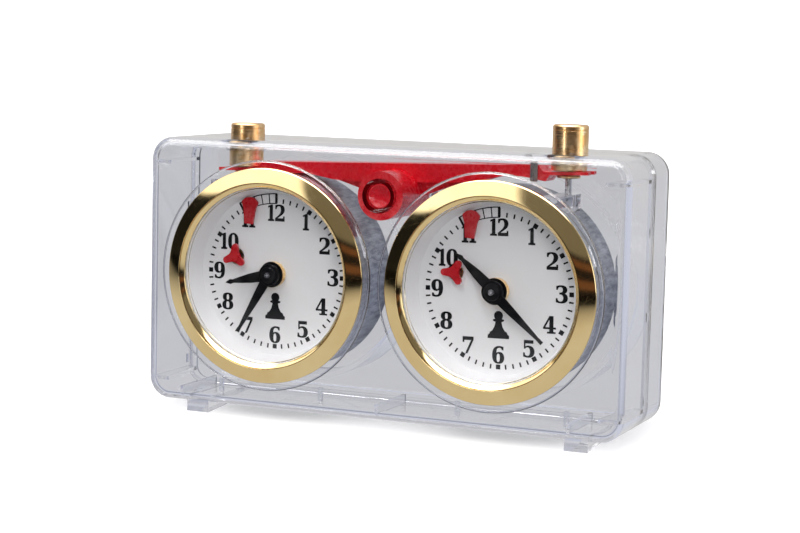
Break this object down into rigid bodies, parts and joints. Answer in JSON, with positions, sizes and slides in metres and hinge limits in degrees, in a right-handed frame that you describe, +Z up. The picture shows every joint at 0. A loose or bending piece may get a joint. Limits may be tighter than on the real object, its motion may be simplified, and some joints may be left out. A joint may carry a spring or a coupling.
{
  "type": "chess clock",
  "caption": "Mechanical chess clock with a clear plastic body, wind-up movements behind white dials, gold bezels, brass plungers and a red rocker that stops one clock as it starts the other.",
  "frame": {"origin": "middle of the foot plane, under the middle of the whole clock from side to side and from front to back", "axes": "+X to the right seen from the front, +Y from the dials to the back, +Z up; the clock leans back 3.55 degrees on its wedge feet, so dial axes are tilted by that angle"},
  "size_m": [0.18, 0.0589, 0.1071],
  "materials": {
    "clear_plastic": "clear moulded polystyrene",
    "lens_plastic": "clear flat window",
    "gold": "polished gold-coloured bezel",
    "dial_white": "white printed dial",
    "can_metal": "satin drawn can",
    "plate_brass": "stamped brass plate",
    "wheel_brass": "cut brass wheel",
    "steel": "turned steel",
    "spring_steel": "tempered spring steel",
    "black_hand": "black painted hand",
    "black_plastic": "black moulded knob",
    "red_plastic": "red moulded plastic",
    "button_brass": "turned brass"
  },
  "bodies": {
    "body": {"front_shell": "clear_plastic", "rear_cover": "clear_plastic", "movement_screws": "steel", "rocker_leaf_spring": "spring_steel", "plate_nuts": "steel", "bezel_left": "gold", "lens_left": "lens_plastic", "dial_left": "dial_white", "can_left": "can_metal", "front_plate_left": "plate_brass", "back_plate_left": "plate_brass", "hairspring_left": "spring_steel", "bezel_right": "gold", "lens_right": "lens_plastic", "dial_right": "dial_white", "can_right": "can_metal", "front_plate_right": "plate_brass", "back_plate_right": "plate_brass", "hairspring_right": "spring_steel"},
    "rocker": {"rocker": "red_plastic"},
    "plunger_left": {"plunger_left": "button_brass", "brake_wire_left": "steel"},
    "minute_hand_left": {"centre_arbor_left": "steel", "minute_hand_left": "black_hand", "setting_knob_left": "black_plastic"},
    "hour_hand_left": {"hour_wheel_left": "wheel_brass", "hour_hand_left": "black_hand"},
    "minute_wheel_left": {"minute_wheel_left": "wheel_brass"},
    "third_wheel_left": {"third_wheel_left": "wheel_brass"},
    "centre_wheel_left": {"centre_wheel_left": "wheel_brass"},
    "barrel_left": {"mainspring_barrel_left": "wheel_brass", "mainspring_left": "spring_steel"},
    "escape_left": {"escape_wheel_left": "wheel_brass", "going_indicator_left": "red_plastic"},
    "winding_left": {"barrel_arbor_left": "steel", "winding_key_left": "steel"},
    "click_left": {"click_left": "steel"},
    "pallet_left": {"pallet_lever_left": "steel"},
    "balance_left": {"balance_wheel_left": "wheel_brass"},
    "flag_left": {"flag_left": "red_plastic"},
    "plunger_right": {"plunger_right": "button_brass", "brake_wire_right": "steel"},
    "minute_hand_right": {"centre_arbor_right": "steel", "minute_hand_right": "black_hand", "setting_knob_right": "black_plastic"},
    "hour_hand_right": {"hour_wheel_right": "wheel_brass", "hour_hand_right": "black_hand"},
    "minute_wheel_right": {"minute_wheel_right": "wheel_brass"},
    "third_wheel_right": {"third_wheel_right": "wheel_brass"},
    "centre_wheel_right": {"centre_wheel_right": "wheel_brass"},
    "barrel_right": {"mainspring_barrel_right": "wheel_brass", "mainspring_right": "spring_steel"},
    "escape_right": {"escape_wheel_right": "wheel_brass", "going_indicator_right": "red_plastic"},
    "winding_right": {"barrel_arbor_right": "steel", "winding_key_right": "steel"},
    "click_right": {"click_right": "steel"},
    "pallet_right": {"pallet_lever_right": "steel"},
    "balance_right": {"balance_wheel_right": "wheel_brass"},
    "flag_right": {"flag_right": "red_plastic"}
  },
  "joints": [
    {"name": "rocker_tilt", "type": "hinge", "parent": "body", "child": "rocker", "pos_m": [0, -0.01011, 0.08102], "axis": [0, 0.9981, -0.0619], "range_deg": [0, 3.89]},
    {"name": "plunger_left_travel", "type": "slide", "parent": "body", "child": "plunger_left", "axis": [0, 0.0619, 0.9981], "range_m": [0, 0.0042]},
    {"name": "hand_setting_left", "type": "hinge", "parent": "body", "child": "minute_hand_left", "pos_m": [-0.04233, -0.00401, 0.05022], "axis": [0, 0.9981, -0.0619], "continuous": true},
    {"name": "hour_hand_turn_left", "type": "hinge", "parent": "body", "child": "hour_hand_left", "pos_m": [-0.04233, -0.00401, 0.05022], "axis": [0, 0.9981, -0.0619], "continuous": true},
    {"name": "minute_wheel_turn_left", "type": "hinge", "parent": "body", "child": "minute_wheel_left", "pos_m": [-0.03813, -0.01344, 0.04351], "axis": [0, 0.9981, -0.0619], "continuous": true},
    {"name": "going_train_left", "type": "hinge", "parent": "body", "child": "third_wheel_left", "pos_m": [-0.05453, -0.00438, 0.04422], "axis": [0, 0.9981, -0.0619], "continuous": true},
    {"name": "centre_wheel_turn_left", "type": "hinge", "parent": "body", "child": "centre_wheel_left", "pos_m": [-0.04233, -0.00401, 0.05022], "axis": [0, 0.9981, -0.0619], "continuous": true},
    {"name": "barrel_turn_left", "type": "hinge", "parent": "body", "child": "barrel_left", "pos_m": [-0.02718, -0.00455, 0.04148], "axis": [0, 0.9981, -0.0619], "continuous": true},
    {"name": "escape_turn_left", "type": "hinge", "parent": "body", "child": "escape_left", "pos_m": [-0.05773, -0.00367, 0.05566], "axis": [0, 0.9981, -0.0619], "continuous": true},
    {"name": "winding_left", "type": "hinge", "parent": "body", "child": "winding_left", "pos_m": [-0.02718, 0.01142, 0.04049], "axis": [0, 0.9981, -0.0619], "range_deg": [0, 1800]},
    {"name": "click_lift_left", "type": "hinge", "parent": "body", "child": "click_left", "pos_m": [-0.03678, 0.00271, 0.04544], "axis": [0, 0.9981, -0.0619], "range_deg": [-12, 0]},
    {"name": "pallet_swing_left", "type": "hinge", "parent": "body", "child": "pallet_left", "pos_m": [-0.05105, -0.00331, 0.06152], "axis": [0, 0.9981, -0.0619], "range_deg": [-6, 6]},
    {"name": "balance_swing_left", "type": "hinge", "parent": "body", "child": "balance_left", "pos_m": [-0.04233, -0.00283, 0.06918], "axis": [0, 0.9981, -0.0619], "range_deg": [-210, 210]},
    {"name": "flag_lift_left", "type": "hinge", "parent": "body", "child": "flag_left", "pos_m": [-0.05203, -0.01546, 0.07547], "axis": [0, 0.9981, -0.0619], "range_deg": [-62, 0]},
    {"name": "plunger_right_travel", "type": "slide", "parent": "body", "child": "plunger_right", "axis": [0, 0.0619, 0.9981], "range_m": [-0.0042, 0]},
    {"name": "hand_setting_right", "type": "hinge", "parent": "body", "child": "minute_hand_right", "pos_m": [0.04233, -0.00401, 0.05022], "axis": [0, 0.9981, -0.0619], "continuous": true},
    {"name": "hour_hand_turn_right", "type": "hinge", "parent": "body", "child": "hour_hand_right", "pos_m": [0.04233, -0.00401, 0.05022], "axis": [0, 0.9981, -0.0619], "continuous": true},
    {"name": "minute_wheel_turn_right", "type": "hinge", "parent": "body", "child": "minute_wheel_right", "pos_m": [0.04653, -0.01344, 0.04351], "axis": [0, 0.9981, -0.0619], "continuous": true},
    {"name": "going_train_right", "type": "hinge", "parent": "body", "child": "third_wheel_right", "pos_m": [0.03013, -0.00438, 0.04422], "axis": [0, 0.9981, -0.0619], "continuous": true},
    {"name": "centre_wheel_turn_right", "type": "hinge", "parent": "body", "child": "centre_wheel_right", "pos_m": [0.04233, -0.00401, 0.05022], "axis": [0, 0.9981, -0.0619], "continuous": true},
    {"name": "barrel_turn_right", "type": "hinge", "parent": "body", "child": "barrel_right", "pos_m": [0.05749, -0.00455, 0.04148], "axis": [0, 0.9981, -0.0619], "continuous": true},
    {"name": "escape_turn_right", "type": "hinge", "parent": "body", "child": "escape_right", "pos_m": [0.02693, -0.00367, 0.05566], "axis": [0, 0.9981, -0.0619], "continuous": true},
    {"name": "winding_right", "type": "hinge", "parent": "body", "child": "winding_right", "pos_m": [0.05749, 0.01142, 0.04049], "axis": [0, 0.9981, -0.0619], "range_deg": [0, 1800]},
    {"name": "click_lift_right", "type": "hinge", "parent": "body", "child": "click_right", "pos_m": [0.04788, 0.00271, 0.04544], "axis": [0, 0.9981, -0.0619], "range_deg": [-12, 0]},
    {"name": "pallet_swing_right", "type": "hinge", "parent": "body", "child": "pallet_right", "pos_m": [0.03361, -0.00331, 0.06152], "axis": [0, 0.9981, -0.0619], "range_deg": [-6, 6]},
    {"name": "balance_swing_right", "type": "hinge", "parent": "body", "child": "balance_right", "pos_m": [0.04233, -0.00283, 0.06918], "axis": [0, 0.9981, -0.0619], "range_deg": [-210, 210]},
    {"name": "flag_lift_right", "type": "hinge", "parent": "body", "child": "flag_right", "pos_m": [0.03263, -0.01546, 0.07547], "axis": [0, 0.9981, -0.0619], "range_deg": [-62, 0]}
  ],
  "couplings": [
    {"joint": "plunger_left_travel", "follows": "rocker_tilt", "m_per_rad": 0.061787},
    {"joint": "hour_hand_turn_left", "follows": "hand_setting_left", "ratio": 0.083333},
    {"joint": "minute_wheel_turn_left", "follows": "hand_setting_left", "ratio": -0.33333},
    {"joint": "centre_wheel_turn_left", "follows": "going_train_left", "ratio": -0.13333},
    {"joint": "barrel_turn_left", "follows": "going_train_left", "ratio": 0.022222},
    {"joint": "escape_turn_left", "follows": "going_train_left", "ratio": -7.5},
    {"joint": "plunger_right_travel", "follows": "rocker_tilt", "m_per_rad": -0.061787},
    {"joint": "hour_hand_turn_right", "follows": "hand_setting_right", "ratio": 0.083333},
    {"joint": "minute_wheel_turn_right", "follows": "hand_setting_right", "ratio": -0.33333},
    {"joint": "centre_wheel_turn_right", "follows": "going_train_right", "ratio": -0.13333},
    {"joint": "barrel_turn_right", "follows": "going_train_right", "ratio": 0.022222},
    {"joint": "escape_turn_right", "follows": "going_train_right", "ratio": -7.5}
  ]
}
